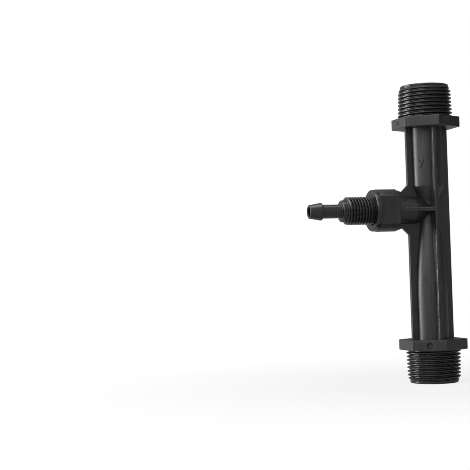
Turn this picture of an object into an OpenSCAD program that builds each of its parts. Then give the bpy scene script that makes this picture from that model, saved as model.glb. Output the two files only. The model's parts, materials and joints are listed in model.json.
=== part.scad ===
// Venturi fertilizer injector: a moulded body with a threaded pipe end above and below,
// and a hose nipple screwed into its suction branch.
// Millimetres. +Z runs up the flow axis from the outlet end, and the branch points along -X.

/* [Overall] */
// Length from the outlet end to the inlet end
body_length = 148; // [130:1:180]
// Height of the suction branch above the outlet end
branch_height = 85.9; // [80:0.1:92]
// Wall round the flow passage
wall = 2.4; // [1.8:0.1:2.8]

/* [Pipe threads] */
// Major diameter of both pipe threads
thread_d = 26.4; // [25:0.1:29]
// Length of each threaded end
thread_length = 16.3; // [13:0.1:20]
// Lead-in chamfer at the tip of each thread
thread_chamfer = 1.2; // [0.6:0.1:1.8]
// Bore of each threaded end
mouth_d = 19.6; // [17:0.1:20.4]

/* [Hex flanges] */
// Distance across the flats
hex_across_flats = 29.5; // [29:0.1:36]
// Thickness of each flange
hex_thickness = 5.2; // [4:0.1:7]

/* [Flow passage] */
// Bore of the tube above the nozzle and below the diffuser
bore_d = 11.4; // [10:0.1:12.4]
// Bore of the throat
throat_d = 5.6; // [4.8:0.1:6]
// Length of the straight throat
throat_length = 11; // [8:0.1:13]
// How far the throat reaches above the branch axis
throat_lead = 4.1; // [2:0.1:5]
// Length of the converging nozzle
nozzle_length = 7.4; // [6:0.1:12]
// Length of the diverging diffuser
diffuser_length = 31.5; // [25:0.5:38]
// Length of the funnel between each mouth and the tube
funnel_length = 6.9; // [5:0.1:9]

/* [Ribs] */
// Diameter over the four long ribs
rib_d = 22; // [20:0.1:25]
// Thickness of the long ribs and of the webs in their plane
rib_thickness = 2; // [1.4:0.1:2.6]
// Thickness of the cross webs at the height of the branch
web_thickness = 1.9; // [1.4:0.1:2.6]
// Distance that the cross webs run out along the branch
web_reach = 15; // [12.5:0.1:17]
// Distance of the notch in the upright web from the flow axis
notch_reach = 14.4; // [12.5:0.1:16]
// Height of that notch above and below the branch axis
notch_height = 9; // [7.6:0.1:9.8]

/* [Suction branch] */
// Diameter of the boss between tube and collar
boss_d = 13.9; // [12:0.1:15]
// Distance from the flow axis at which the boss, widening from the throat, reaches that diameter
boss_taper = 8.5; // [7:0.1:11]
// Distance from the flow axis to the mouth of the collar
collar_reach = 30.6; // [29.5:0.1:36]
// Length of the collar
collar_length = 12.6; // [11.5:0.1:13.5]
// Diameter of the collar's round lands
collar_d = 21; // [20:0.1:24]
// Distance across the collar's two wrench flats
collar_flats = 16.1; // [15.6:0.1:18]
// Diameter of the bead round the mouth
bead_d = 20.6; // [19.6:0.1:23]
// Length of the bead
bead_length = 2.4; // [1.8:0.1:3.2]
// Rounding of the bead's edge
bead_round = 0.9; // [0.4:0.1:1.2]
// Depth of the socket
socket_depth = 10.6; // [9:0.1:11]
// Countersink at the mouth of the socket
socket_chamfer = 0.6; // [0.3:0.1:1]
// Diameter of the channel from the socket to the throat
suction_d = 4; // [3:0.1:4.4]

/* [Hose nipple] */
// Major diameter of the nipple's thread
nipple_thread_d = 13.8; // [12.8:0.1:14]
// Radial clearance of the nipple's thread in the socket
thread_clearance = 0.1; // [0.05:0.01:0.2]
// Length of thread that stands out of the collar
thread_out = 13.7; // [10:0.1:18]
// Chamfer at both ends of the nipple's thread
nipple_chamfer = 0.9; // [0.5:0.1:1.3]
// Diameter of the shoulder beyond the thread
shoulder_d = 10.8; // [9.6:0.1:11.4]
// Length of that shoulder
shoulder_length = 2.1; // [1.4:0.1:3]
// Rounding of the shoulder's outer edge
shoulder_round = 0.6; // [0.3:0.1:1]
// Diameter of the neck
neck_d = 6.8; // [6.2:0.1:7.6]
// Length of the neck
neck_length = 9.6; // [7:0.1:14]
// Diameter over the barb
barb_d = 8.6; // [7.8:0.1:9.4]
// Length of the barb's steep back
barb_back = 0.4; // [0.2:0.1:0.8]
// Length of the barb's straight land
barb_land = 0.7; // [0.5:0.1:1.2]
// Length of the barb's long taper
barb_taper = 5.6; // [4:0.1:8]
// Diameter at the tip
tip_d = 6.6; // [6.2:0.1:7.2]
// Bore of the nipple
nipple_bore_d = 4.6; // [3.6:0.1:5.2]

/* [Hidden] */
$fn = 96;
overlap = 1;

thread_r = thread_d / 2;
mouth_r = mouth_d / 2;
bore_r = bore_d / 2;
throat_r = throat_d / 2;
tube_r = bore_r + wall;
waist_r = throat_r + wall;
rib_r = rib_d / 2;
flange_inner = thread_length + hex_thickness;
inlet_flange = body_length - flange_inner;

// Heights where the flow passage changes, from the outlet up
throat_top = branch_height + throat_lead;
throat_bottom = throat_top - throat_length;
nozzle_top = throat_top + nozzle_length;
diffuser_end = throat_bottom - diffuser_length;
mouth_end = flange_inner - funnel_length;

// Distances along the branch, from the flow axis out
boss_r = boss_d / 2;
collar_r = collar_d / 2;
bead_r = bead_d / 2;
collar_back = collar_reach - collar_length;
flat_end = collar_reach - bead_length;
socket_floor = collar_reach - socket_depth;
socket_r = nipple_thread_d / 2 + thread_clearance;

// Distances along the nipple, from its seat on the socket's floor out
nipple_thread_r = nipple_thread_d / 2;
thread_end = socket_depth + thread_out;
shoulder_r = shoulder_d / 2;
shoulder_end = thread_end + shoulder_length;
neck_end = shoulder_end + neck_length;
barb_top = neck_end + barb_back;
barb_front = barb_top + barb_land;
tip_end = barb_front + barb_taper;

// Radius and height of each corner of the flow passage, from the outlet up
passage = [
    [bore_r, diffuser_end],
    [throat_r, throat_bottom],
    [throat_r, throat_top],
    [bore_r, nozzle_top],
];

// Puts its children on the branch: their +Z runs out along -X, and their +X points up
module on_branch() {
    translate([0, 0, branch_height]) rotate([0, -90, 0]) children();
}

// The tube and both threaded ends, solid
module tube_outside() {
    buried = thread_length + hex_thickness / 2;
    rotate_extrude() polygon(concat(
        [[0, 0], [thread_r - thread_chamfer, 0], [thread_r, thread_chamfer]],
        [[thread_r, buried], [tube_r, buried]],
        [for (p = passage) [p[0] + wall, p[1]]],
        [[tube_r, body_length - buried], [thread_r, body_length - buried]],
        [[thread_r, body_length - thread_chamfer], [thread_r - thread_chamfer, body_length]],
        [[0, body_length]]
    ));
}

// The way through the body: mouth, funnel, nozzle, throat, diffuser, funnel, mouth
module flow_passage() {
    rotate_extrude() polygon(concat(
        [[0, -overlap], [mouth_r, -overlap], [mouth_r, mouth_end], [bore_r, flange_inner]],
        passage,
        [[bore_r, inlet_flange], [mouth_r, body_length - mouth_end]],
        [[mouth_r, body_length + overlap], [0, body_length + overlap]]
    ));
}

// One hexagonal flange, with a flat turned to the branch
module hex_flange(height) {
    translate([0, 0, height]) rotate([0, 0, 30])
        cylinder(h = hex_thickness, d = hex_across_flats / cos(30), $fn = 6);
}

// Four long ribs from flange to flange
module long_ribs() {
    for (turn = [0, 90])
        rotate([0, 0, turn])
            translate([-rib_r, -rib_thickness / 2, flange_inner - overlap])
                cube([rib_d, rib_thickness, inlet_flange - flange_inner + 2 * overlap]);
}

// The upright web along the branch: a slope behind the collar, a notch, and a gusset at 45 degrees
module upright_web() {
    gusset_top = notch_height + notch_reach - rib_r;
    half = [
        [-collar_back - overlap, collar_r],
        [-collar_back, collar_r],
        [-notch_reach, notch_height],
        [-rib_r, gusset_top],
        [0, gusset_top],
    ];
    translate([0, rib_thickness / 2, branch_height]) rotate([90, 0, 0])
        linear_extrude(rib_thickness)
            polygon(concat(half, [for (i = [len(half) - 1 : -1 : 0]) [half[i][0], -half[i][1]]]));
}

// The cross web at the height of the branch, from the front and back ribs out to the boss
module cross_web() {
    translate([0, 0, branch_height - web_thickness / 2]) linear_extrude(web_thickness)
        polygon([[0, -rib_r], [0, rib_r], [-web_reach, boss_r], [-web_reach, -boss_r]]);
}

// The boss, which widens from inside the throat's wall to its full diameter
module suction_boss() {
    on_branch() {
        cylinder(h = boss_taper, r1 = waist_r - wall / 10, r2 = boss_r);
        translate([0, 0, boss_taper]) cylinder(h = collar_back + overlap - boss_taper, r = boss_r);
    }
}

// The collar: two wrench flats between round lands, and a bead with a rounded edge at the mouth
module collar() {
    on_branch() {
        intersection() {
            translate([0, 0, collar_back]) cylinder(h = flat_end - collar_back, d = collar_d);
            translate([-collar_d / 2, -collar_flats / 2, collar_back])
                cube([collar_d, collar_flats, collar_length]);
        }
        translate([0, 0, flat_end]) rotate_extrude() {
            square([bead_r - bead_round, bead_length]);
            square([bead_r, bead_length - bead_round]);
            translate([bead_r - bead_round, bead_length - bead_round]) circle(r = bead_round);
        }
    }
}

// The socket that takes the nipple, and the channel from its floor to the throat
module suction_way() {
    on_branch() {
        cylinder(h = socket_floor + overlap, d = suction_d);
        translate([0, 0, socket_floor]) rotate_extrude() polygon([
            [0, 0],
            [socket_r, 0],
            [socket_r, socket_depth - socket_chamfer],
            [socket_r + socket_chamfer + overlap, socket_depth + overlap],
            [0, socket_depth + overlap],
        ]);
    }
}

module venturi_body() {
    color("#2a2a2b") difference() {
        union() {
            tube_outside();
            hex_flange(thread_length);
            hex_flange(inlet_flange);
            long_ribs();
            upright_web();
            cross_web();
            suction_boss();
            collar();
        }
        flow_passage();
        suction_way();
    }
}

// The nipple: thread, rounded shoulder, neck, barb and bore, seated on the socket's floor
module hose_nipple() {
    color("#262627") on_branch() translate([0, 0, socket_floor]) difference() {
        rotate_extrude() {
            polygon([
                [0, 0],
                [nipple_thread_r - nipple_chamfer, 0],
                [nipple_thread_r, nipple_chamfer],
                [nipple_thread_r, thread_end - nipple_chamfer],
                [nipple_thread_r - nipple_chamfer, thread_end],
                [shoulder_r, thread_end],
                [shoulder_r, shoulder_end - shoulder_round],
                [shoulder_r - shoulder_round, shoulder_end - shoulder_round],
                [shoulder_r - shoulder_round, shoulder_end],
                [neck_d / 2, shoulder_end],
                [neck_d / 2, neck_end],
                [barb_d / 2, barb_top],
                [barb_d / 2, barb_front],
                [tip_d / 2, tip_end],
                [0, tip_end],
            ]);
            translate([shoulder_r - shoulder_round, shoulder_end - shoulder_round])
                circle(r = shoulder_round);
        }
        translate([0, 0, -overlap]) cylinder(h = tip_end + 2 * overlap, d = nipple_bore_d);
    }
}

venturi_body();
hose_nipple();
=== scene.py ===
# %% [markdown]
# # Venturi fertilizer injector
# The real part is two black polypropylene mouldings. The body is a pipe with a thread and a hexagon
# at each end, a narrow throat between them, stiffening ribs, and a collar at its side. A hose nipple
# is screwed into that collar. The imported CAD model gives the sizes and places, and this lesson models
# both mouldings again with their threads, rounded edges, mould marks and finish.

# %% Load the frame
import json
import math

import bpy
from mathutils import Matrix, Vector


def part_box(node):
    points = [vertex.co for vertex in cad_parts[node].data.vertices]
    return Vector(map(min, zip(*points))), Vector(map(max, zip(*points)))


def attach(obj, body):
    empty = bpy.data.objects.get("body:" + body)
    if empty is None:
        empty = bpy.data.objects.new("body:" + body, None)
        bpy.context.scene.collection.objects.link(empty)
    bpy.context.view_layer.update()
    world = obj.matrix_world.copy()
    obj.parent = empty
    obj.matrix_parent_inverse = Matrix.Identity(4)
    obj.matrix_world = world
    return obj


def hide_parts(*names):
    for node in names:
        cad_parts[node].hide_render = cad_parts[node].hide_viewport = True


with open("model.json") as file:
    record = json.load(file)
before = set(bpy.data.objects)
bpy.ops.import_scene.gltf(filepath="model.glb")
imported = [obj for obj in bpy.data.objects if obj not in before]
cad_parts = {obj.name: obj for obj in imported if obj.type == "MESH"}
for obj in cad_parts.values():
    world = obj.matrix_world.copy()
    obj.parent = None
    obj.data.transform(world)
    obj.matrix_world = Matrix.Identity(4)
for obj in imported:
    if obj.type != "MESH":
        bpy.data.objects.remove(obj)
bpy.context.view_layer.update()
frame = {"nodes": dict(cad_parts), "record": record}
MM = 0.001
print("CAD nodes:", sorted(frame["nodes"]))

# %% [markdown]
# ## Sizes
# Lengths are in millimetres, because that is how a moulding is drawn, and they become metres only
# where a piece is drawn. Whatever the CAD model can tell, such as a box or a mount, is read from it.

# %% Sizes from the frame
mounts = {mount["name"]: mount for mount in frame["record"]["mounts"]}
body_low, body_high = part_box("venturi_body")
nipple_low, nipple_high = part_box("hose_nipple")
body_length = body_high.z / MM
half_flats = body_high.x / MM
branch_height = (nipple_low.z + nipple_high.z) / 2 / MM
collar_mouth = -body_low.x / MM
nipple_seat = -nipple_high.x / MM
nipple_tip = -nipple_low.x / MM
nipple_r = (nipple_high.z - nipple_low.z) / 2 / MM
mouth_r = mounts["inlet_bore"]["dims"]["r_mm"]
barb_r = mounts["suction_barb"]["dims"]["r_mm"]
nipple_bore_r = mounts["suction_bore"]["dims"]["r_mm"]
print(f"body {body_length:.1f} mm long, branch at {branch_height:.1f}, nipple tip at {nipple_tip:.1f}")

# %% [markdown]
# ## Camera
# The photograph looks at the part almost level, from the front and a little to the side of the nipple,
# with the part at the right of the frame. The camera stands on that line, and is turned past the part
# so that it keeps its place in the picture without any lens shift. A narrow pixel filter keeps the turns
# of the threads apart, which are only a few pixels high.

# %% Camera
CAMERA_SIDE = math.radians(23.551)
CAMERA_DISTANCE = 612.528
CAMERA_HEIGHT = 58.33
CAMERA_TURN = math.radians(9.113)
CAMERA_TILT = math.radians(1.70)
CAMERA_ROLL = math.radians(1.788)
SENSOR_WIDTH = 36
LENS = 92.74
PIXEL_FILTER = 0.9
eye = Vector((-math.sin(CAMERA_SIDE), -math.cos(CAMERA_SIDE), 0)) * CAMERA_DISTANCE
eye.z = CAMERA_HEIGHT
aim = (
    Matrix.Rotation(CAMERA_TURN - CAMERA_SIDE, 3, "Z")
    @ Matrix.Rotation(math.pi / 2 + CAMERA_TILT, 3, "X")
    @ Matrix.Rotation(-CAMERA_ROLL, 3, "Z")
)
bpy.ops.object.camera_add(location=eye * MM, rotation=aim.to_euler())
camera = bpy.context.object
camera.name = "photo_camera"
camera.data.sensor_width = SENSOR_WIDTH
camera.data.lens = LENS
camera.data.clip_start = 0.01
bpy.context.scene.camera = camera
bpy.context.scene.view_settings.view_transform = "Standard"
bpy.context.scene.cycles.filter_width = PIXEL_FILTER
print("camera at", [round(value, 1) for value in eye], "mm, lens", LENS)

# %% [markdown]
# ## Studio
# A black part on white is lit by what it reflects. A tall soft box at the left draws the long bright
# lines on tube and edges, and the other lamps only open the shadows. The world is white where it is
# seen, and in the plastic it is white on the lit side and grey on the other, like a studio with one
# open end, so that the round shapes keep a light and a dark side.

# %% World
WORLD_LIGHT = 0.5
GREY_END = 0.17
GREY_FROM = -0.6
WHITE_FROM = 0.8
LIT_WAY = (-0.80, -0.45, 0.40)


def shader_node(tree, kind, **settings):
    """Add a node and set its properties and the inputs that have no link."""
    new = tree.nodes.new(kind)
    for name, value in settings.items():
        socket = name.replace("_", " ")
        if socket in new.inputs:
            new.inputs[socket].default_value = value
        else:
            setattr(new, name, value)
    return new


def combine_values(tree, operation, first, second):
    """Put two values through a Math node and give its result."""
    step = shader_node(tree, "ShaderNodeMath", operation=operation)
    tree.links.new(first, step.inputs[0])
    tree.links.new(second, step.inputs[1])
    return step.outputs["Value"]


def map_value(tree, value, **limits):
    """Put a value through a Map Range node and give its result."""
    step = shader_node(tree, "ShaderNodeMapRange", **limits)
    tree.links.new(value, step.inputs["Value"])
    return step.outputs["Result"]


world = bpy.data.worlds.new("white_studio")
world.use_nodes = True
bpy.context.scene.world = world
tree = world.node_tree
rays = shader_node(tree, "ShaderNodeLightPath")
way = shader_node(tree, "ShaderNodeTexCoord")
lit = shader_node(tree, "ShaderNodeVectorMath", operation="DOT_PRODUCT")
lit.inputs[1].default_value = LIT_WAY
tree.links.new(way.outputs["Generated"], lit.inputs[0])
studio = map_value(
    tree, lit.outputs["Value"], From_Min=GREY_FROM, From_Max=WHITE_FROM, To_Min=GREY_END, To_Max=1.0
)
share = map_value(tree, rays.outputs["Is Glossy Ray"], To_Min=WORLD_LIGHT, To_Max=1.0)
lighting = combine_values(tree, "MULTIPLY", studio, share)
seen = combine_values(
    tree, "MAXIMUM", rays.outputs["Is Camera Ray"], rays.outputs["Is Transmission Ray"]
)
strength = combine_values(tree, "MAXIMUM", lighting, seen)
tree.nodes["Background"].inputs["Color"].default_value = (1, 1, 1, 1)
tree.links.new(strength, tree.nodes["Background"].inputs["Strength"])
print("world lights between", GREY_END * WORLD_LIGHT, "and", WORLD_LIGHT)

# %% Soft boxes
BOX_AIM = -10
part_middle = Vector((BOX_AIM, 0, body_length / 2))


def soft_box(name, side, height, distance, width, tall, power):
    """Hang an area lamp round the part: side is degrees to the left of the camera's line."""
    turn = CAMERA_SIDE + math.radians(side)
    level_way = Vector((-math.sin(turn), -math.cos(turn), 0))
    way = level_way * math.cos(math.radians(height)) + Vector((0, 0, math.sin(math.radians(height))))
    facing = (-way).to_track_quat("-Z", "Y").to_euler()
    bpy.ops.object.light_add(type="AREA", location=(part_middle + way * distance) * MM, rotation=facing)
    lamp = bpy.context.object
    lamp.name = name
    lamp.data.shape = "RECTANGLE"
    lamp.data.size = width * MM
    lamp.data.size_y = tall * MM
    lamp.data.energy = power
    print("soft box", name, power, "W")


soft_box("left_box", side=92, height=10, distance=900, width=480, tall=900, power=9.2)
soft_box("low_left_box", side=90, height=0, distance=880, width=260, tall=150, power=2.2)
soft_box("front_box", side=25, height=35, distance=1100, width=700, tall=700, power=5.2)
soft_box("overhead_box", side=20, height=88, distance=900, width=500, tall=500, power=3.4)

# %% [markdown]
# ## Floor
# The part stands on its outlet end on a white table. A lit white plane would throw so much light up that
# the undersides turn grey. So the table is a grey surface, which takes the soft shadow, mixed with a white
# glow that only the camera sees in full. Far out the glow alone is left, and hides the horizon. In the
# black plastic it is weak, as the table is in the photograph.

# %% Floor
FLOOR_SIDE = 8000
# Between these two distances from the part the white glow fades in, so nearer the part the floor is a painted
# darker grey pool, and the real shadow falls inside it.
PAINTED_SHADE_NEAR = 0.05
PAINTED_SHADE_FAR = 0.18
GLOW_NEAR = 0.83
GLOW_IN_PLASTIC = 0.2
TABLE_GREY = 0.36
TABLE_ROUGHNESS = 0.8
bpy.ops.object.select_all(action="DESELECT")
bpy.ops.mesh.primitive_plane_add(size=FLOOR_SIDE * MM, location=(0, 0, 0))
floor = bpy.context.object
floor.name = "white_table"
table_white = bpy.data.materials.new("table_white")
table_white.use_nodes = True
tree = table_white.node_tree
surface = tree.nodes["Principled BSDF"]
surface.inputs["Base Color"].default_value = (TABLE_GREY, TABLE_GREY, TABLE_GREY, 1)
surface.inputs["Roughness"].default_value = TABLE_ROUGHNESS
glow = shader_node(tree, "ShaderNodeEmission", Strength=1.0)
place = shader_node(tree, "ShaderNodeTexCoord")
reach = shader_node(tree, "ShaderNodeVectorMath", operation="LENGTH")
tree.links.new(place.outputs["Object"], reach.inputs[0])
# The glow is weaker close to the part, so the grey surface shows through as a painted darker pool round its
# foot, besides the real shadow it takes.
fade = map_value(
    tree, reach.outputs["Value"], From_Min=PAINTED_SHADE_NEAR, From_Max=PAINTED_SHADE_FAR, To_Min=GLOW_NEAR
)
rays = shader_node(tree, "ShaderNodeLightPath")
seen = combine_values(
    tree, "MAXIMUM", rays.outputs["Is Camera Ray"], rays.outputs["Is Transmission Ray"]
)
mirrored = map_value(tree, rays.outputs["Is Glossy Ray"], To_Max=GLOW_IN_PLASTIC)
seen = combine_values(tree, "MAXIMUM", seen, mirrored)
blend = shader_node(tree, "ShaderNodeMixShader")
tree.links.new(combine_values(tree, "MULTIPLY", fade, seen), blend.inputs["Fac"])
tree.links.new(surface.outputs["BSDF"], blend.inputs[1])
tree.links.new(glow.outputs["Emission"], blend.inputs[2])
tree.links.new(blend.outputs["Shader"], tree.nodes["Material Output"].inputs["Surface"])
floor.data.materials.append(table_white)
print("floor", FLOOR_SIDE, "mm wide")

# %% [markdown]
# ## Black polypropylene
# Both mouldings are black polypropylene straight from the tool: a satin skin that is never quite even.
# The colour is mottled by a hair, the melt leaves faint streaks where it flowed, and the surface has
# the fine pebble of an etched tool with a few scuffs from handling. All of it comes from noise on Object
# coordinates, so it stays put when the part is turned and when its finish is baked.

# %% Uneven black
COLD_TINT = 1.03
SHADE_LOW = 0.36
SHADE_HIGH = 0.64
STREAK_SHARE = 0.75
SCUFF_LIGHTER = 1.6


def ramp(tree, low, high, low_value, high_value):
    """Add a colour ramp between two grey levels."""
    new = shader_node(tree, "ShaderNodeValToRGB")
    for element, place, value in zip(new.color_ramp.elements, (low, high), (low_value, high_value)):
        element.position = place
        element.color = (value, value, value * COLD_TINT, 1)
    return new


def uneven_black(tree, place, streak, dark, light):
    """Mix mottle, streaks and scuffs, and give the colour between dark and light."""
    link = tree.links.new
    mottle = shader_node(tree, "ShaderNodeTexNoise", Scale=150, Detail=5, Roughness=0.6)
    uneven = shader_node(tree, "ShaderNodeMix", data_type="FLOAT", Factor=STREAK_SHARE)
    shade = ramp(tree, SHADE_LOW, SHADE_HIGH, dark, light)
    link(place, mottle.inputs["Vector"])
    link(mottle.outputs["Fac"], uneven.inputs["A"])
    link(streak, uneven.inputs["B"])
    link(uneven.outputs["Result"], shade.inputs["Fac"])

    scuff = shader_node(tree, "ShaderNodeTexNoise", Scale=420, Detail=6, Roughness=0.7, Distortion=0.6)
    worn = shader_node(tree, "ShaderNodeMix", data_type="RGBA")
    scuffed = light * SCUFF_LIGHTER
    worn.inputs["B"].default_value = (scuffed, scuffed, scuffed, 1)
    link(place, scuff.inputs["Vector"])
    scuff_mask = map_value(tree, scuff.outputs["Fac"], From_Min=0.64, From_Max=0.76, To_Max=0.35)
    link(scuff_mask, worn.inputs["Factor"])
    link(shade.outputs["Color"], worn.inputs["A"])
    return worn.outputs["Result"]


# %% [markdown]
# The tool is polished at the pipe threads, along the edges of the front and back ribs and round the
# bead, so these shine more than the tube. Coordinates tell where that is, because one finish covers the
# whole moulding.

# %% Polish
THREAD_POLISH = 0.58
THREADS_FROM = 57.8
EDGE_POLISH = 0.45
RIBS_TO = 52.3
RIB_EDGE = 10.2
RIB_SIDE = 3.0
BEAD_DEPTH = 2.4
FADE = 0.2


def distance_from(tree, value, middle):
    """Give how far a coordinate is from the middle."""
    off = shader_node(tree, "ShaderNodeMath", operation="SUBTRACT")
    off.inputs[1].default_value = middle * MM
    away = shader_node(tree, "ShaderNodeMath", operation="ABSOLUTE")
    tree.links.new(value, off.inputs[0])
    tree.links.new(off.outputs["Value"], away.inputs[0])
    return away.outputs["Value"]


def share_past(tree, value, start, way=1, inside=0, outside=1):
    """Give inside where a coordinate is short of start, and outside where it is FADE past it."""
    return map_value(
        tree,
        value,
        From_Min=way * start * MM,
        From_Max=way * (start + FADE) * MM,
        To_Min=inside,
        To_Max=outside,
    )


def polish_body(tree, place, roughness):
    """Make the pipe threads, the edges of front and back rib and the bead smoother."""
    axes = shader_node(tree, "ShaderNodeSeparateXYZ")
    tree.links.new(place, axes.inputs["Vector"])
    from_half = distance_from(tree, axes.outputs["Z"], body_length / 2)

    beside_rib = share_past(tree, axes.outputs["X"], -RIB_SIDE)
    between = share_past(tree, from_half, RIBS_TO, inside=1, outside=0)
    outermost = share_past(tree, distance_from(tree, axes.outputs["Y"], 0), RIB_EDGE)
    rib_edge = combine_values(
        tree, "MULTIPLY", combine_values(tree, "MULTIPLY", beside_rib, between), outermost
    )
    bead = share_past(tree, axes.outputs["X"], collar_mouth - BEAD_DEPTH, way=-1)
    edges = combine_values(tree, "MAXIMUM", bead, rib_edge)

    on_edges = map_value(tree, edges, To_Min=1, To_Max=EDGE_POLISH)
    on_threads = share_past(tree, from_half, THREADS_FROM, inside=1, outside=THREAD_POLISH)
    return combine_values(tree, "MULTIPLY", roughness, combine_values(tree, "MULTIPLY", on_edges, on_threads))


# %% Etched skin
PEBBLE_DEPTH = 0.012
WAVE_DEPTH = 0.03


def etched_skin(tree, place):
    """Lay a fine pebble over a broad waviness, and give the normal."""
    link = tree.links.new
    pebble = shader_node(tree, "ShaderNodeTexNoise", Scale=2400, Detail=3, Roughness=0.5)
    waviness = shader_node(tree, "ShaderNodeTexNoise", Scale=260, Detail=2)
    fine = shader_node(tree, "ShaderNodeBump", Strength=0.3, Distance=PEBBLE_DEPTH * MM)
    broad = shader_node(tree, "ShaderNodeBump", Strength=0.4, Distance=WAVE_DEPTH * MM)
    link(place, pebble.inputs["Vector"])
    link(place, waviness.inputs["Vector"])
    link(pebble.outputs["Fac"], fine.inputs["Height"])
    link(waviness.outputs["Fac"], broad.inputs["Height"])
    link(fine.outputs["Normal"], broad.inputs["Normal"])
    return broad.outputs["Normal"]


# %% Plastic finish
PLASTIC_IOR = 1.49


def black_polypropylene(name, flow_scale, dark, light, roughest, smoothest, polished=False):
    """Make the moulded black plastic, with streaks that flow_scale stretches along the way of the melt."""
    finish = bpy.data.materials.new(name)
    finish.use_nodes = True
    tree = finish.node_tree
    link = tree.links.new
    skin = tree.nodes["Principled BSDF"]
    skin.inputs["IOR"].default_value = PLASTIC_IOR
    place = shader_node(tree, "ShaderNodeTexCoord").outputs["Object"]
    along = shader_node(tree, "ShaderNodeMapping", Scale=flow_scale)
    noise = shader_node(tree, "ShaderNodeTexNoise", Scale=900, Detail=4, Roughness=0.6)
    link(place, along.inputs["Vector"])
    link(along.outputs["Vector"], noise.inputs["Vector"])
    streak = noise.outputs["Fac"]

    roughness = map_value(tree, streak, From_Min=0.3, From_Max=0.7, To_Min=smoothest, To_Max=roughest)
    if polished:
        roughness = polish_body(tree, place, roughness)
    link(uneven_black(tree, place, streak, dark, light), skin.inputs["Base Color"])
    link(roughness, skin.inputs["Roughness"])
    link(etched_skin(tree, place), skin.inputs["Normal"])
    print("finish", name, len(tree.nodes), "nodes")
    return finish


STREAK_STRETCH = 0.08
body_black = black_polypropylene(
    "body_black",
    flow_scale=(1, 1, STREAK_STRETCH),
    dark=0.005,
    light=0.019,
    roughest=0.48,
    smoothest=0.34,
    polished=True,
)
nipple_black = black_polypropylene(
    "nipple_black",
    flow_scale=(STREAK_STRETCH, 1, 1),
    dark=0.003,
    light=0.018,
    roughest=0.36,
    smoothest=0.22,
)

# %% [markdown]
# ## Drawing and turning
# Most of this part is round, so most of it is turned from an outline, as on a lathe. An outline starts as
# one point, which is extruded from corner to corner. A corner may carry a radius, and is then drawn
# as a short arc, because no moulded edge is truly sharp. Drawing point by point keeps every radius and
# height readable in the list of corners, which a stack of scaled cylinders would not.

# %% Outlines
STEP_ANGLE = 12


def select_only(piece):
    """Leave one piece selected and active, as a click on it would."""
    bpy.ops.object.select_all(action="DESELECT")
    piece.select_set(True)
    bpy.context.view_layer.objects.active = piece


def edit_whole(piece):
    """Open one piece in edit mode with everything in it selected."""
    select_only(piece)
    bpy.ops.object.mode_set(mode="EDIT")
    bpy.ops.mesh.select_all(action="SELECT")


def corner_arc(before, corner, after, radius):
    """Give the points of the arc that rounds one corner of an outline."""
    back = (before - corner).normalized()
    ahead = (after - corner).normalized()
    half_angle = back.angle(ahead) / 2
    centre = corner + (back + ahead).normalized() * radius / math.sin(half_angle)
    tangent = radius / math.tan(half_angle)
    start = corner + back * tangent - centre
    end = corner + ahead * tangent - centre
    sweep = math.degrees(start.angle(end))
    steps = max(3, round(sweep * math.sqrt(radius) / STEP_ANGLE))
    shares = [step / steps for step in range(steps + 1)]
    return [centre + start.lerp(end, share).normalized() * radius for share in shares]


def soften(corners):
    """Turn corners (across, up) or (across, up, radius) into the points of an outline."""
    spots = [Vector(corner[:2]) for corner in corners]
    points = []
    for place, corner in enumerate(corners):
        if len(corner) == 2:
            points.append(spots[place])
        else:
            after = spots[(place + 1) % len(spots)]
            points += corner_arc(spots[place - 1], spots[place], after, corner[2])
    return points


def draw_outline(name, points):
    """Draw a chain of edges in the X-Z plane by extruding one point from place to place."""
    bpy.ops.object.select_all(action="DESELECT")
    bpy.ops.mesh.primitive_plane_add(size=MM, location=(0, 0, 0))
    piece = bpy.context.object
    piece.name = name
    edit_whole(piece)
    bpy.ops.mesh.merge(type="CENTER")
    bpy.ops.transform.translate(value=(points[0].x * MM, 0, points[0].y * MM))
    for here, there in zip(points, points[1:]):
        step = (there - here) * MM
        bpy.ops.mesh.extrude_region_move(TRANSFORM_OT_translate={"value": (step.x, 0, step.y)})
    bpy.ops.object.mode_set(mode="OBJECT")
    return piece


# %% Turned solids
MERGE_BELOW = 0.001
CUT_WITHIN = 0.0001


def close_up(piece):
    """Merge the points that lie on each other and turn all faces outwards."""
    edit_whole(piece)
    bpy.ops.mesh.remove_doubles(threshold=MERGE_BELOW * MM)
    bpy.ops.mesh.normals_make_consistent(inside=False)
    bpy.ops.object.mode_set(mode="OBJECT")


def saw_off(piece, place, way):
    """Cut a piece with a plane, close the cut, and drop what lies beyond it."""
    edit_whole(piece)
    bpy.ops.mesh.bisect(
        plane_co=Vector(place) * MM,
        plane_no=way,
        use_fill=True,
        clear_outer=True,
        threshold=CUT_WITHIN * MM,
    )
    bpy.ops.object.mode_set(mode="OBJECT")


def turn_solid(name, corners, steps=96):
    """Spin an outline that starts and ends on the axis into a closed solid."""
    piece = draw_outline(name, soften(corners))
    edit_whole(piece)
    bpy.ops.mesh.spin(steps=steps, angle=math.tau, center=(0, 0, 0), axis=(0, 0, 1))
    bpy.ops.object.mode_set(mode="OBJECT")
    close_up(piece)
    print("turned", name, len(piece.data.polygons), "faces")
    return piece


# %% [markdown]
# ## The tube
# Between the flanges the real part is a pipe with an even wall: wide at both ends, and narrow where the
# water speeds up past the suction hole. The outside is turned as one solid here, and is bored when all
# the shapes that stand on it are fused, so that no inner wall stays in the way. Outside, the diffuser
# runs into the straight outlet in one long curve, so its corner is eased far more than the others.

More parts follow.
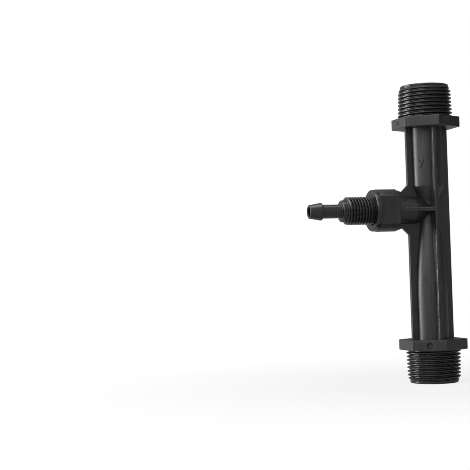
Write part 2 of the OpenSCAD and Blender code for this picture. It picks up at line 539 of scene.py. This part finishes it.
# %% Tube
WALL = 2.4
BORE_R = 5.7
THROAT_R = 2.8
FLANGE_FACE = 16.3
FLANGE_THICK = 5.2
NOZZLE_TOP = 97.4
THROAT_TOP = 90.0
THROAT_BOTTOM = 79.0
DIFFUSER_END = 47.5
EASED = 8.0
FULL_WIDTH = 54.0
LONG_EASE = 200.0
BURIED = 1.0
flange_in = FLANGE_FACE + FLANGE_THICK
inlet_in = body_length - flange_in
tube_r = BORE_R + WALL
waist_r = THROAT_R + WALL
venturi_body = turn_solid("venturi_body_moulding", [
    (0, flange_in - BURIED),
    (tube_r, flange_in - BURIED),
    (tube_r, FULL_WIDTH, LONG_EASE),
    (waist_r, THROAT_BOTTOM, EASED),
    (waist_r, THROAT_TOP, EASED / 2),
    (tube_r, NOZZLE_TOP, EASED / 4),
    (tube_r, inlet_in + BURIED),
    (0, inlet_in + BURIED),
])

# %% [markdown]
# ## Fusing
# A moulding is one piece of plastic, so its shapes are fused by booleans and not left standing in each
# other. Each shape has its outer edges rounded first, while it is still simple: rounding the fused body
# at the end would have to find its way round dozens of odd corners.

# %% Fuse and round
def combine(target, tool, operation="UNION"):
    """Add a solid to another, or cut with it, and drop the tool."""
    select_only(target)
    bpy.ops.object.modifier_add(type="BOOLEAN")
    step = target.modifiers[-1]
    step.operation = operation
    step.solver = "MANIFOLD"
    step.object = tool
    bpy.ops.object.modifier_apply(modifier=step.name)
    bpy.data.objects.remove(tool)


def round_edges(piece, radius, sharper_than=30):
    """Bevel every edge of a piece that is sharper than an angle in degrees."""
    edit_whole(piece)
    bpy.ops.mesh.select_mode(type="EDGE")
    bpy.ops.mesh.select_all(action="DESELECT")
    bpy.ops.mesh.edges_select_sharp(sharpness=math.radians(sharper_than))
    bpy.ops.mesh.bevel(offset=radius * MM, segments=3, affect="EDGES")
    bpy.ops.mesh.select_mode(type="VERT")
    bpy.ops.object.mode_set(mode="OBJECT")


def place_piece(piece, turned=(0, 0, 0), at=(0, 0, 0)):
    """Turn a piece by angles in degrees, move it to its place and put both into its mesh."""
    select_only(piece)
    piece.rotation_euler = [math.radians(angle) for angle in turned]
    piece.location = Vector(at) * MM
    bpy.ops.object.transform_apply(location=True, rotation=True, scale=True)


def set_on_branch(piece):
    """Lay an upright piece along the branch: its up becomes the way out to the nipple."""
    place_piece(piece, turned=(0, -90, 0), at=(0, 0, branch_height))


# %% [markdown]
# ## Pipe threads
# Both ends carry a tapered pipe thread of 14 turns to the inch. The ridge of one turn is drawn once, and
# a Screw modifier winds it up the axis, which gives true helical ridges that show on the outline, as a
# stack of rings or a bump map would not. The wound surface is cut flat at both ends, tapered, and
# trimmed by a cone, so that the thread starts thin as it does on a moulded part.

# %% Thread helper
ROOT_SHARE = 0.18
CREST_SHARE = 0.24
TIP_SHARE = 0.06


def wind_thread(name, crest_r, depth, pitch, bottom, top, steps=72):
    """Wind a right-hand thread round the axis as a solid rod from bottom to top."""
    root_r = crest_r - depth
    root = pitch * ROOT_SHARE
    crest = pitch * CREST_SHARE
    tip = pitch * TIP_SHARE
    ridge = soften([
        (root_r, 0),
        (root_r, root / 2, tip),
        (crest_r, (pitch - crest) / 2, tip),
        (crest_r, (pitch + crest) / 2, tip),
        (root_r, pitch - root / 2, tip),
        (root_r, pitch),
    ])
    first = bottom - pitch
    rod = draw_outline(name, [point + Vector((0, first)) for point in ridge])
    select_only(rod)
    bpy.ops.object.modifier_add(type="SCREW")
    screw = rod.modifiers[-1]
    screw.screw_offset = pitch * MM
    screw.iterations = math.ceil((top - bottom) / pitch) + 2
    screw.steps = steps
    screw.render_steps = steps
    screw.use_merge_vertices = True
    screw.merge_threshold = MERGE_BELOW * MM
    bpy.ops.object.modifier_apply(modifier=screw.name)
    close_up(rod)
    saw_off(rod, (0, 0, bottom), (0, 0, -1))
    saw_off(rod, (0, 0, top), (0, 0, 1))
    close_up(rod)
    print("wound", name, round((top - bottom) / pitch, 1), "turns,", len(rod.data.polygons), "faces")
    return rod


# %% Pipe thread
INCH = 25.4
PIPE_PITCH = INCH / 14
PIPE_DEPTH = 1.3
PILOT_R = 11.9
PILOT_LENGTH = 0.9
LEAD_LENGTH = 3.0
CREST_AT_TIP = 12.95
TAPER = 1 / 32
RELIEF = 0.5
THREAD_START = 0.4
thread_top = FLANGE_FACE - RELIEF
pipe_thread = wind_thread("pipe_thread", CREST_AT_TIP, PIPE_DEPTH, PIPE_PITCH, THREAD_START, thread_top)
bpy.ops.object.modifier_add(type="SIMPLE_DEFORM")
widen = pipe_thread.modifiers[-1]
widen.deform_method = "TAPER"
widen.deform_axis = "Z"
widen.factor = TAPER * (thread_top - THREAD_START) / CREST_AT_TIP
bpy.ops.object.modifier_apply(modifier=widen.name)
widest = max(math.hypot(point.co.x, point.co.y) for point in pipe_thread.data.vertices) / MM
print(f"crest grows to a radius of {widest:.2f} mm")

# %% Threaded end
LEAD_SINK = 0.2
LEAD_CLEAR = 0.5
PILOT_ROUND = 0.4
PILOT_BACK_ROUND = 0.25
PILOT_STEP = 0.6
PILOT_SINK = 0.4
lead_in = turn_solid("lead_in", [
    (0, THREAD_START),
    (PILOT_R - LEAD_SINK, THREAD_START),
    (CREST_AT_TIP, LEAD_LENGTH),
    (widest + LEAD_CLEAR, LEAD_LENGTH + LEAD_CLEAR),
    (widest + LEAD_CLEAR, FLANGE_FACE),
    (0, FLANGE_FACE),
])
combine(pipe_thread, lead_in, "INTERSECT")
pilot = turn_solid("pilot", [
    (0, 0),
    (PILOT_R, 0, PILOT_ROUND),
    (PILOT_R, PILOT_LENGTH, PILOT_BACK_ROUND),
    (PILOT_R - PILOT_STEP, PILOT_LENGTH + PILOT_STEP),
    (PILOT_R - PILOT_SINK, FLANGE_FACE + BURIED),
    (0, FLANGE_FACE + BURIED),
])
combine(pipe_thread, pilot)
print("threaded end", len(pipe_thread.data.polygons), "faces")

# %% Fit both ends
select_only(pipe_thread)
bpy.ops.object.duplicate()
inlet_thread = bpy.context.object
place_piece(inlet_thread, turned=(180, 0, 0), at=(0, 0, body_length))
combine(venturi_body, pipe_thread)
combine(venturi_body, inlet_thread)
print("body with both threads", len(venturi_body.data.polygons), "faces")

# %% [markdown]
# ## Hexagonal flanges
# Behind each thread sits a hexagon for the spanner, with one flat turned to the branch. Six-sided
# cylinders are the natural start, and only their edges need rounding.

# %% Flanges
FLANGE_ROUND = 0.35
for height in (FLANGE_FACE, inlet_in):
    bpy.ops.object.select_all(action="DESELECT")
    bpy.ops.mesh.primitive_cylinder_add(
        vertices=6,
        radius=half_flats / math.cos(math.pi / 6) * MM,
        depth=FLANGE_THICK * MM,
        location=(0, 0, (height + FLANGE_THICK / 2) * MM),
    )
    flange = bpy.context.object
    place_piece(flange, at=flange.location / MM)
    round_edges(flange, FLANGE_ROUND)
    combine(venturi_body, flange)
print("flanges", round(2 * half_flats, 1), "mm across the flats")

# %% [markdown]
# ## Ribs and webs
# Four ribs run from flange to flange and keep the thin throat from bending. In the plane of the branch
# the rib grows into a web: a gusset at 45 degrees, a notch, and a slope up to the collar. That whole
# plane is one plate, drawn as an outline, filled and pulled to its thickness, so rib and web share one
# flat side without a seam.

# %% Plates
def cut_plate(name, corners, thickness, edge_round):
    """Fill an outline in the X-Z plane, pull it to a plate about that plane, and round its edges."""
    piece = draw_outline(name, soften(corners))
    edit_whole(piece)
    bpy.ops.mesh.edge_face_add()
    bpy.ops.transform.translate(value=(0, -thickness / 2 * MM, 0))
    bpy.ops.mesh.extrude_region_move(TRANSFORM_OT_translate={"value": (0, thickness * MM, 0)})
    bpy.ops.object.mode_set(mode="OBJECT")
    close_up(piece)
    round_edges(piece, edge_round)
    print("plate", name, len(piece.data.polygons), "faces")
    return piece


# %% Rib and web plates
RIB_R = 11.0
RIB_THICK = 2.0
RIB_ROUND = 0.2
FRONT_ROUND = 0.6
NOTCH_REACH = 14.4
NOTCH_HEIGHT = 9.0
GUSSET_ROUND = 0.6
NOTCH_ROUND = 0.5
COLLAR_BACK = 18.0
COLLAR_R = 10.5
WEB_UNDER = 0.25
WEB_SINK = 0.6
gusset_height = NOTCH_HEIGHT + NOTCH_REACH - RIB_R
rib_low = flange_in - BURIED
rib_high = inlet_in + BURIED
web_half = [
    (-RIB_R, gusset_height, GUSSET_ROUND),
    (-NOTCH_REACH, NOTCH_HEIGHT, NOTCH_ROUND),
    (-COLLAR_BACK, COLLAR_R - WEB_UNDER),
    (-COLLAR_BACK - BURIED, COLLAR_R - WEB_SINK),
]
web_above = [(across, branch_height + up, *rest) for across, up, *rest in web_half]
web_below = [(across, branch_height - up, *rest) for across, up, *rest in web_half]
branch_plate = cut_plate("branch_plate", [
    (RIB_R, rib_low),
    (RIB_R, rib_high),
    (-RIB_R, rib_high),
    *web_above,
    *reversed(web_below),
    (-RIB_R, rib_low),
], RIB_THICK, RIB_ROUND)
combine(venturi_body, branch_plate)
front_plate = cut_plate("front_plate", [
    (RIB_R, rib_low),
    (RIB_R, rib_high),
    (-RIB_R, rib_high),
    (-RIB_R, rib_low),
], RIB_THICK, FRONT_ROUND)
place_piece(front_plate, turned=(0, 0, 90))
combine(venturi_body, front_plate)

# %% [markdown]
# At the height of the branch a thin level web ties the front and back ribs to the boss. It is the same kind
# of plate, drawn upright and then laid flat.

# %% Level web
WEB_THICK = 1.9
WEB_REACH = 15.0
WEB_ROUND = 0.25
WEB_INSET = 0.05
BOSS_R = 6.95
level_web = cut_plate("level_web", [
    (0, RIB_R - WEB_INSET),
    (0, WEB_INSET - RIB_R),
    (-WEB_REACH, -BOSS_R),
    (-WEB_REACH, BOSS_R),
], WEB_THICK, WEB_ROUND)
place_piece(level_web, turned=(90, 0, 0), at=(0, 0, branch_height))
combine(venturi_body, level_web)

# %% [markdown]
# ## Boss and collar
# The branch starts as a round boss that widens out of the throat's wall. It ends in a collar with two
# wrench flats between round lands, and a bead round the mouth. They are turned upright and then laid along
# the branch. The flats are sawn off with two bisect cuts before the bead goes on, because the bead stays
# round.

# %% Boss
BOSS_TAPER = 8.5
BOSS_SINK = 0.2
BOSS_EASE = 6.0
boss = turn_solid("boss", [
    (0, 0),
    (waist_r - BOSS_SINK, 0),
    (BOSS_R, BOSS_TAPER, BOSS_EASE),
    (BOSS_R, COLLAR_BACK + BURIED),
    (0, COLLAR_BACK + BURIED),
], steps=72)
set_on_branch(boss)
combine(venturi_body, boss)

# %% Collar
FLAT_HALF = 8.05
COLLAR_ROUND = 0.4
FLAT_ROUND = 0.15
FLAT_CORNER = 24
BEAD_R = 10.3
BEAD_LENGTH = 2.4
BEAD_ROUND = 0.7
BEAD_BACK_ROUND = 0.3
TENON_INSET = 0.5
bead_back = collar_mouth - BEAD_LENGTH
collar = turn_solid("collar", [
    (0, COLLAR_BACK),
    (COLLAR_R, COLLAR_BACK, COLLAR_ROUND),
    (COLLAR_R, bead_back),
    (0, bead_back),
])
for way in (-1, 1):
    saw_off(collar, (0, way * FLAT_HALF, 0), (0, way, 0))
round_edges(collar, FLAT_ROUND, sharper_than=FLAT_CORNER)
bead = turn_solid("bead", [
    (0, bead_back - BURIED),
    (FLAT_HALF - TENON_INSET, bead_back - BURIED),
    (FLAT_HALF - TENON_INSET, bead_back),
    (BEAD_R, bead_back, BEAD_BACK_ROUND),
    (BEAD_R, collar_mouth, BEAD_ROUND),
    (0, collar_mouth),
])
combine(collar, bead)
set_on_branch(collar)
combine(venturi_body, collar)
print("collar fused,", len(venturi_body.data.polygons), "faces")

# %% [markdown]
# ## Mould marks
# The tool leaves its traces on the real body. A chevron stands up from the tube and shows which way the
# water runs. Tool pins leave a round dent on one flat of the lower hexagon and a small ring on the upper
# one. The gate, where the plastic entered, is a snapped stub in a groove along the front of the level web.
# They are small, but they make the part look moulded, so they are cut and raised in the mesh itself.

# %% Flow chevron
CHEVRON_SIDE = 45
CHEVRON_HEIGHT = 108.5
CHEVRON_RELIEF = 0.5
CHEVRON_THICK = 2.0
CHEVRON_ROUND = 0.2
CHEVRON_HALF = 1.75
CHEVRON_INNER = 0.85
CHEVRON_TOP = 2.0
CHEVRON_POINT = -2.1


def face_out(piece, side, reach, height):
    """Turn a piece from the front to a number of degrees left of it, and move it out from the axis."""
    turn = math.radians(side)
    way = Vector((-math.sin(turn), -math.cos(turn), 0))
    place_piece(piece, turned=(0, 0, -side), at=way * reach + Vector((0, 0, height)))


chevron = cut_plate("chevron", [
    (-CHEVRON_HALF, CHEVRON_TOP),
    (0, CHEVRON_POINT),
    (CHEVRON_HALF, CHEVRON_TOP),
    (CHEVRON_INNER, CHEVRON_TOP),
    (0, 0),
    (-CHEVRON_INNER, CHEVRON_TOP),
], CHEVRON_THICK, CHEVRON_ROUND)
face_out(chevron, CHEVRON_SIDE, tube_r + CHEVRON_RELIEF - CHEVRON_THICK / 2, CHEVRON_HEIGHT)
combine(venturi_body, chevron)
print("chevron stands", CHEVRON_RELIEF, "mm proud")

# %% Pin marks
DENT_SIDE = 30
DENT_DEPTH = 1.6
DENT_R = 1.3
DENT_ROUND = 0.3
DENT_DRAFT = 0.3
RING_SIDE = 90
RING_DEPTH = 0.3
RING_PLUG = 0.05
PLUG_R = 0.5
RING_FLOOR_IN = 0.7
RING_FLOOR_OUT = 0.9
RING_DRAFT = 0.2
PIN_STEPS = 48
pin_dent = turn_solid("pin_dent", [
    (0, -DENT_DEPTH),
    (DENT_R, -DENT_DEPTH, DENT_ROUND),
    (DENT_R + DENT_DRAFT, BURIED),
    (0, BURIED),
], steps=PIN_STEPS)
place_piece(pin_dent, turned=(90, 0, 0))
face_out(pin_dent, DENT_SIDE, half_flats, FLANGE_FACE + FLANGE_THICK / 2)
combine(venturi_body, pin_dent, "DIFFERENCE")
pin_ring = turn_solid("pin_ring", [
    (0, -RING_PLUG),
    (PLUG_R, -RING_PLUG),
    (RING_FLOOR_IN, -RING_DEPTH),
    (RING_FLOOR_OUT, -RING_DEPTH),
    (RING_FLOOR_OUT + RING_DRAFT, BURIED),
    (0, BURIED),
], steps=PIN_STEPS)
place_piece(pin_ring, turned=(90, 0, 0))
face_out(pin_ring, RING_SIDE, half_flats, inlet_in + FLANGE_THICK / 2)
combine(venturi_body, pin_ring, "DIFFERENCE")
print("pin dent", DENT_DEPTH, "mm deep, pin ring", RING_DEPTH)

# %% Gate
GATE_SHARE = 0.52
GROOVE_END = 0.8
GROOVE_HALF = 0.35
GROOVE_DEEP = 0.8
GROOVE_ROUND = 0.1
STUB_R = 0.8
STUB_TIP_R = 0.7
STUB_HIGH = 0.45
STUB_ROUND = 0.2
STUB_DROP = 0.4
edge_start = Vector((0, -RIB_R, branch_height))
edge_end = Vector((-WEB_REACH, -BOSS_R, branch_height))
edge_turn = -math.degrees(math.atan2(RIB_R - BOSS_R, WEB_REACH))
half_groove = (edge_end - edge_start).length / 2 - GROOVE_END
groove = cut_plate("gate_groove", [
    (-half_groove, -GROOVE_HALF),
    (-half_groove, GROOVE_HALF),
    (half_groove, GROOVE_HALF),
    (half_groove, -GROOVE_HALF),
], GROOVE_DEEP, GROOVE_ROUND)
place_piece(groove, turned=(0, 0, edge_turn), at=(edge_start + edge_end) / 2)
combine(venturi_body, groove, "DIFFERENCE")
stub = turn_solid("gate_stub", [
    (0, -BURIED),
    (STUB_R, -BURIED),
    (STUB_TIP_R, STUB_HIGH, STUB_ROUND),
    (0, STUB_HIGH),
], steps=24)
gate = edge_start.lerp(edge_end, GATE_SHARE) - Vector((0, 0, STUB_DROP))
place_piece(stub, turned=(90, 0, edge_turn), at=gate)
combine(venturi_body, stub)
print(f"gate groove {2 * half_groove:.1f} mm long")

# %% [markdown]
# ## Boring
# The water runs straight through: a wide mouth, a funnel, the nozzle, the throat, and a long diffuser.
# The suction channel meets the throat from the side, behind the socket that takes the nipple. Boring
# both after everything is fused leaves one clean wall all the way.

# %% Bores
MOUTH_DEPTH = 14.6
MOUTH_EDGE = 0.5
FUNNEL_EASE = 1.5
SOCKET_R = 7.0
COUNTERSINK = 0.6
SUCTION_R = 2.0
flow_passage = turn_solid("flow_passage", [
    (0, -BURIED),
    (mouth_r + MOUTH_EDGE + BURIED, -BURIED),
    (mouth_r, MOUTH_EDGE),
    (mouth_r, MOUTH_DEPTH, FUNNEL_EASE),
    (BORE_R, flange_in, FUNNEL_EASE),
    (BORE_R, DIFFUSER_END, EASED),
    (THROAT_R, THROAT_BOTTOM, EASED),
    (THROAT_R, THROAT_TOP, EASED / 2),
    (BORE_R, NOZZLE_TOP, EASED),
    (BORE_R, inlet_in, FUNNEL_EASE),
    (mouth_r, body_length - MOUTH_DEPTH, FUNNEL_EASE),
    (mouth_r, body_length - MOUTH_EDGE),
    (mouth_r + MOUTH_EDGE + BURIED, body_length + BURIED),
    (0, body_length + BURIED),
])
combine(venturi_body, flow_passage, "DIFFERENCE")
socket = turn_solid("socket", [
    (0, 0),
    (SUCTION_R, 0),
    (SUCTION_R, nipple_seat),
    (SOCKET_R, nipple_seat),
    (SOCKET_R, collar_mouth - COUNTERSINK),
    (SOCKET_R + COUNTERSINK + BURIED, collar_mouth + BURIED),
    (0, collar_mouth + BURIED),
])
set_on_branch(socket)
combine(venturi_body, socket, "DIFFERENCE")
print("bored body", len(venturi_body.data.polygons), "faces")

# %% [markdown]
# ## Hose nipple
# The nipple screws into the collar until it meets the floor of the socket. Half of its fine thread stays
# outside and takes the nut that clamps the hose, and beyond it come a shoulder, a neck and one barb. The
# smooth end is turned, the thread is wound in the same way as the pipe threads, and the bore goes
# through both.

# %% Nipple thread
NIPPLE_PITCH = 1.5
NIPPLE_DEPTH = 1.0
THREAD_END = 44.3
NIPPLE_LEAD = 0.9
LEAD_ROUND = 0.2
TRIM_CLEAR = 0.1
hose_nipple = wind_thread(
    "hose_nipple_moulding", nipple_r, NIPPLE_DEPTH, NIPPLE_PITCH, nipple_seat, THREAD_END
)
both_leads = turn_solid("both_leads", [
    (0, nipple_seat),
    (nipple_r - NIPPLE_LEAD, nipple_seat),
    (nipple_r + TRIM_CLEAR, nipple_seat + NIPPLE_LEAD + TRIM_CLEAR),
    (nipple_r + TRIM_CLEAR, THREAD_END - NIPPLE_LEAD - TRIM_CLEAR),
    (nipple_r - NIPPLE_LEAD, THREAD_END, LEAD_ROUND),
    (0, THREAD_END),
])
combine(hose_nipple, both_leads, "INTERSECT")
print("nipple thread", len(hose_nipple.data.polygons), "faces")

# %% Barbed end
SHOULDER_R = 5.4
SHOULDER_END = 46.4
SHOULDER_ROUND = 0.6
NECK_R = 3.4
NECK_END = 56.0
NECK_FILLET = 0.25
BARB_FILLET = 0.2
BARB_BACK = 0.4
BARB_LAND = 0.7
BARB_EDGE = 0.12
BARB_ROUND = 0.3
TIP_R = 3.3
TIP_ROUND = 0.25
TIP_EDGE = 0.3
barbed_end = turn_solid("barbed_end", [
    (0, THREAD_END - BURIED),
    (SHOULDER_R, THREAD_END - BURIED),
    (SHOULDER_R, SHOULDER_END, SHOULDER_ROUND),
    (NECK_R, SHOULDER_END, NECK_FILLET),
    (NECK_R, NECK_END, BARB_FILLET),
    (barb_r, NECK_END + BARB_BACK, BARB_EDGE),
    (barb_r, NECK_END + BARB_BACK + BARB_LAND, BARB_ROUND),
    (TIP_R, nipple_tip, TIP_ROUND),
    (0, nipple_tip),
], steps=72)
combine(hose_nipple, barbed_end)
nipple_bore = turn_solid("nipple_bore", [
    (0, nipple_seat - BURIED),
    (nipple_bore_r, nipple_seat - BURIED),
    (nipple_bore_r, nipple_tip - TIP_EDGE),
    (nipple_bore_r + TIP_EDGE + BURIED, nipple_tip + BURIED),
    (0, nipple_tip + BURIED),
], steps=48)
combine(hose_nipple, nipple_bore, "DIFFERENCE")
set_on_branch(hose_nipple)
print("nipple", len(hose_nipple.data.polygons), "faces")

# %% [markdown]
# ## Shading and hand-over
# Faces that meet at a small angle are shaded as one curve, and the normals are weighted by face size, so
# that large flats stay flat beside their rounded edges. Each moulding then takes its finish, and stands
# for its CAD node.

# %% Dress both mouldings
SMOOTH_BELOW = math.radians(35)


def dress(piece, finish, node):
    """Shade a finished moulding, give it its plastic, and let it stand for its CAD node."""
    close_up(piece)
    select_only(piece)
    bpy.ops.object.shade_smooth_by_angle(angle=SMOOTH_BELOW)
    bpy.ops.object.modifier_add(type="WEIGHTED_NORMAL")
    weighted = piece.modifiers[-1]
    weighted.keep_sharp = True
    bpy.ops.object.modifier_apply(modifier=weighted.name)
    piece.data.materials.clear()
    piece.data.materials.append(finish)
    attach(piece, "root")
    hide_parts(node)
    piece.data.calc_loop_triangles()
    print(piece.name, len(piece.data.loop_triangles), "triangles")


dress(venturi_body, body_black, "venturi_body")
dress(hose_nipple, nipple_black, "hose_nipple")
